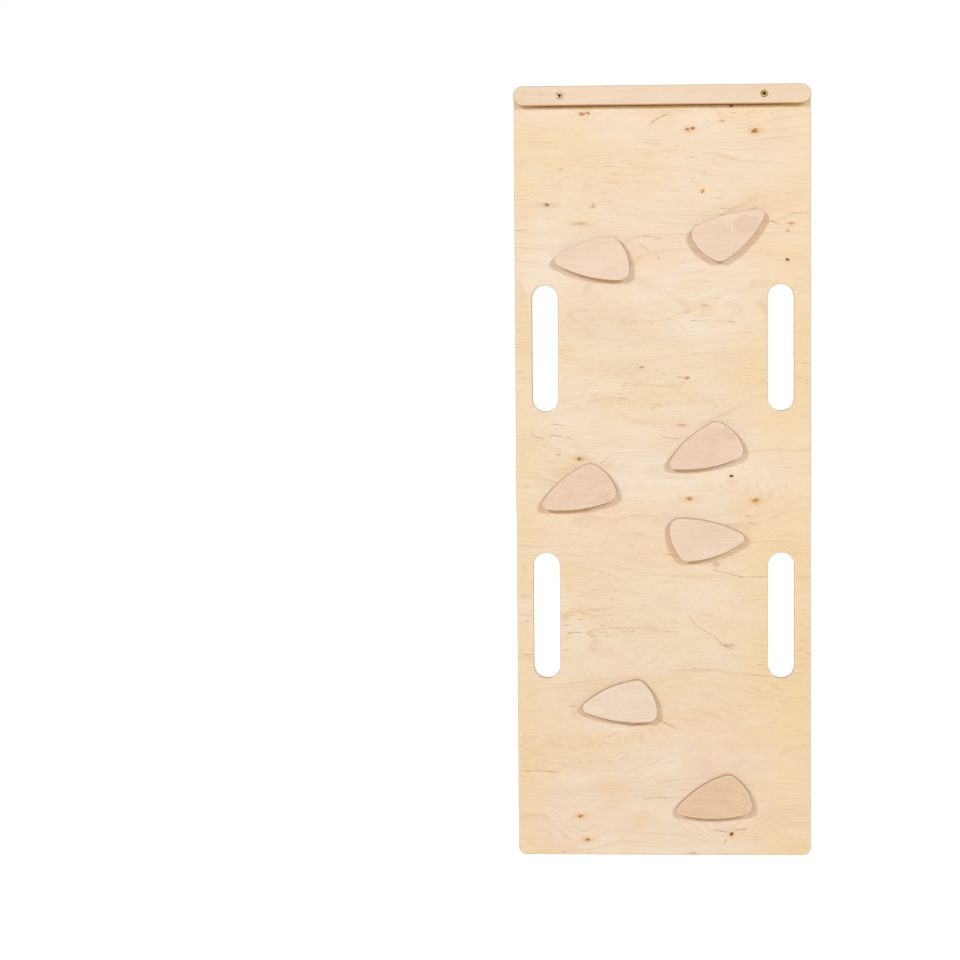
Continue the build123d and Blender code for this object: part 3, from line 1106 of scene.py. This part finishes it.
screwLook = {
    "dull": srgb(198, 172, 92),
    "bright": srgb(228, 210, 176),
    "scratch": srgb(120, 100, 56),
    # painted shade with some dirt in the driver recess
    "sunkShadeAndDirt": srgb(38, 28, 16),
    "sunkShadeReach": (0.0012, 0.0001),
    # painted shade round the head's rim, where it meets the countersink
    "rimShadeStart": 0.0042,
    "rimShadeEnd": 0.0048,
    "rimShadeShare": 0.8,
}


# yellow zinc, paler and greyer towards the left, with painted shade and some dirt down in the recess and a
# painted shade ring round the head's rim
def makeScrewMetal():
    material, wiring, shader = newMaterial("yellowZinc", 0.38, Metallic=0.85)
    place = wiring.here()
    x, y, z = wiring.parts(place)
    patches = wiring.noise(place, (700, 700, 700), detail=3.0, roughness=0.6)[0]
    paleness = wiring.math("ADD", patches, wiring.ramp(x, -0.1, 0.1, 0.16, -0.12))
    colour = wiring.tint(wiring.ramp(paleness, 0.42, 0.62), screwLook["dull"], screwLook["bright"])
    scratches = wiring.noise(place, (5200, 900, 700), detail=2.0)[0]
    colour = wiring.tint(wiring.ramp(scratches, 0.5, 0.75, 0.0, 0.45), colour, screwLook["scratch"])
    # painted shade and some dirt: darkest down in the driver recess
    outer = wiring.math("ABSOLUTE", y)
    deepest, first = (cleatFront - reach for reach in screwLook["sunkShadeReach"])
    sunkShadeAndDirt = wiring.ramp(outer, deepest, first, 1.0, 0.0)
    colour = wiring.tint(sunkShadeAndDirt, colour, screwLook["sunkShadeAndDirt"])
    # painted shade: a dark ring round the outer rim of the head
    away = fromScrew(wiring, x, z)
    rim = wiring.ramp(away, screwLook["rimShadeStart"], screwLook["rimShadeEnd"], 0.0, screwLook["rimShadeShare"])
    colour = wiring.tint(rim, colour, edgeLook["screwShade"])
    bump = wiring.node("ShaderNodeBump", {"Height": wiring.math("ADD", scratches, patches)})
    bump.inputs["Strength"].default_value = 0.3
    bump.inputs["Distance"].default_value = 0.00005
    wiring.feed(shader.inputs["Base Color"], colour)
    wiring.feed(shader.inputs["Normal"], bump)
    wiring.feed(shader.inputs["Roughness"], wiring.ramp(patches, 0.3, 0.7, 0.28, 0.5))
    return material


def makeScrews():
    low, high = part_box("cleat_screw_climbing_side_left")
    outline = screwOutline(high[1] - low[1])
    points = [(radius, -height, 0.0) for radius, height in outline]
    wires = [(i, i + 1) for i in range(len(outline) - 1)]
    facings = [(0.0, 0.0, 0.0)] * len(points)
    turns = [math.radians(turn) for turn in screw["turns"]]
    for side, tilt in (("climbing_side", math.pi / 2), ("slide_side", -math.pi / 2)):
        for place in screwPlaces(side):
            points.append(place)
            facings.append((tilt, turns.pop(0), 0.0))
    mesh = bpy.data.meshes.new("screwOutline")
    mesh.from_pydata(points, wires, [])
    facing = mesh.attributes.new("facing", "FLOAT_VECTOR", "POINT")
    for i, value in enumerate(facings):
        facing.data[i].vector = value
    values = {"Metal": makeScrewMetal()}
    for cut in ("Recess", "Tick"):
        for size in ("Span", "Width", "Depth"):
            values[f"{cut} {size}"] = screw[cut.lower() + size]
    piece = bakeTree("cleat_screws", mesh, makeScrewTree(), values, Matrix.Identity(4))
    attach(piece, "root")
    names = [
        f"cleat_screw_{side}_{end}"
        for side in ("climbing_side", "slide_side")
        for end in ("left", "right")
    ]
    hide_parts(*names)
    return piece


makeBoard()
makeCleat("climbing_side", -1)
makeCleat("slide_side", 1)
for number in range(1, 8):
    makeHold(number)
makeScrews()
print("plywood pieces cut and screws driven")


beechLook = {
    "pale": srgb(226, 190, 150),
    "deep": srgb(204, 160, 116),
    "fleck": srgb(160, 108, 68),
}


def makeBeech():
    material, wiring, shader = newMaterial("dowelBeech", 0.6, Specular_IOR_Level=0.3)
    place = wiring.here()
    fibre = wiring.noise(place, (900, 60, 900), detail=3.0, roughness=0.6)[0]
    fleck = wiring.noise(place, (2600, 320, 2600), detail=1.0)[0]
    colour = wiring.tint(wiring.ramp(fibre, 0.35, 0.65), beechLook["pale"], beechLook["deep"])
    colour = wiring.tint(wiring.ramp(fleck, 0.62, 0.7, 0.0, 0.7), colour, beechLook["fleck"])
    finishWood(wiring, shader, colour, fibre, 0.3, 0.5, 0.65)
    return material


beech = makeBeech()
for name, node in nodes.items():
    if "_dowel_" in name:
        node.data.materials.clear()
        node.data.materials.append(beech)
print("dowels dressed")


studio = {
    "floorSize": 12.0,
    "dome": 0.415,
    "domeTint": (1.0, 0.67, 0.34, 1.0),
    "lampPower": 277.0,
    "lampTint": (0.96, 1.18, 1.50),
    "lampSize": 1.3,
    "lampDistance": 10.0,
    "lampTurns": (-24, 23, 155, 204),
    "lampRise": 20,
    "lampAim": 0.3,
    "floorBounce": (0.86, 0.80, 0.72, 1.0),
    # what the camera itself sees of the world and the floor
    "skySeen": 1.02,
    "floorSeen": (0.6, 0.6, 0.6, 1),
    "floorGlow": 0.74,
}


def makeStudio():
    world = bpy.data.worlds.new("studio")
    bpy.context.scene.world = world
    world.use_nodes = True
    wiring = Wiring(world.node_tree)
    background = world.node_tree.nodes["Background"]
    seen = wiring.node("ShaderNodeLightPath").outputs["Is Camera Ray"]
    strength = wiring.timesPlus(seen, studio["skySeen"] - studio["dome"], studio["dome"])
    wiring.feed(background.inputs["Strength"], strength)
    wiring.feed(background.inputs["Color"], wiring.tint(seen, studio["domeTint"], (1, 1, 1, 1)))

    size = studio["floorSize"] / 2
    mesh = bpy.data.meshes.new("floor")
    corners = [(-size, -size, 0), (size, -size, 0), (size, size, 0), (-size, size, 0)]
    mesh.from_pydata(corners, [], [(0, 1, 2, 3)])
    floor = addObject("floor", mesh)
    material, wiring, shader = newMaterial("floorPaper", 0.8)
    seen = wiring.node("ShaderNodeLightPath").outputs["Is Camera Ray"]
    paper = wiring.tint(seen, studio["floorBounce"], studio["floorSeen"])
    wiring.feed(shader.inputs["Base Color"], paper)
    shader.inputs["Emission Color"].default_value = (1, 1, 1, 1)
    wiring.feed(shader.inputs["Emission Strength"], wiring.times(seen, studio["floorGlow"]))
    mesh.materials.append(material)

    middle = Vector((0, 0, studio["lampAim"]))
    for turn in studio["lampTurns"]:
        lamp = bpy.data.lights.new("softbox", "AREA")
        lamp.energy = studio["lampPower"]
        lamp.color = studio["lampTint"]
        lamp.size = studio["lampSize"]
        lampObject = addObject("softbox", lamp)
        rise = math.radians(studio["lampRise"])
        around = math.radians(turn)
        level = math.cos(rise)
        way = Vector((math.sin(around) * level, -math.cos(around) * level, math.sin(rise)))
        lampObject.location = middle + way * studio["lampDistance"]
        lampObject.rotation_euler = (-way).to_track_quat("-Z", "Y").to_euler()


view = {
    "place": (0.0293, -4.569, 0.8685),
    "aim": (-0.2625, 0.0, 0.5409),
    "roll": 0.457,
    "lens": 120.0,
    "sensor": 36.0,
    "reach": 50,
}


def makeCamera():
    camera = bpy.data.cameras.new("camera")
    camera.lens = view["lens"]
    camera.sensor_width = view["sensor"]
    camera.clip_end = view["reach"]
    holder = addObject("camera", camera)
    place = Vector(view["place"])
    look = (Vector(view["aim"]) - place).to_track_quat("-Z", "Y").to_matrix()
    look = look @ Matrix.Rotation(math.radians(-view["roll"]), 3, "Z")
    holder.matrix_world = Matrix.Translation(place) @ look.to_4x4()
    bpy.context.scene.camera = holder


makeStudio()
makeCamera()
bpy.context.scene.view_settings.view_transform = "Standard"
print("studio and camera set")

bpy.context.view_layer.update()
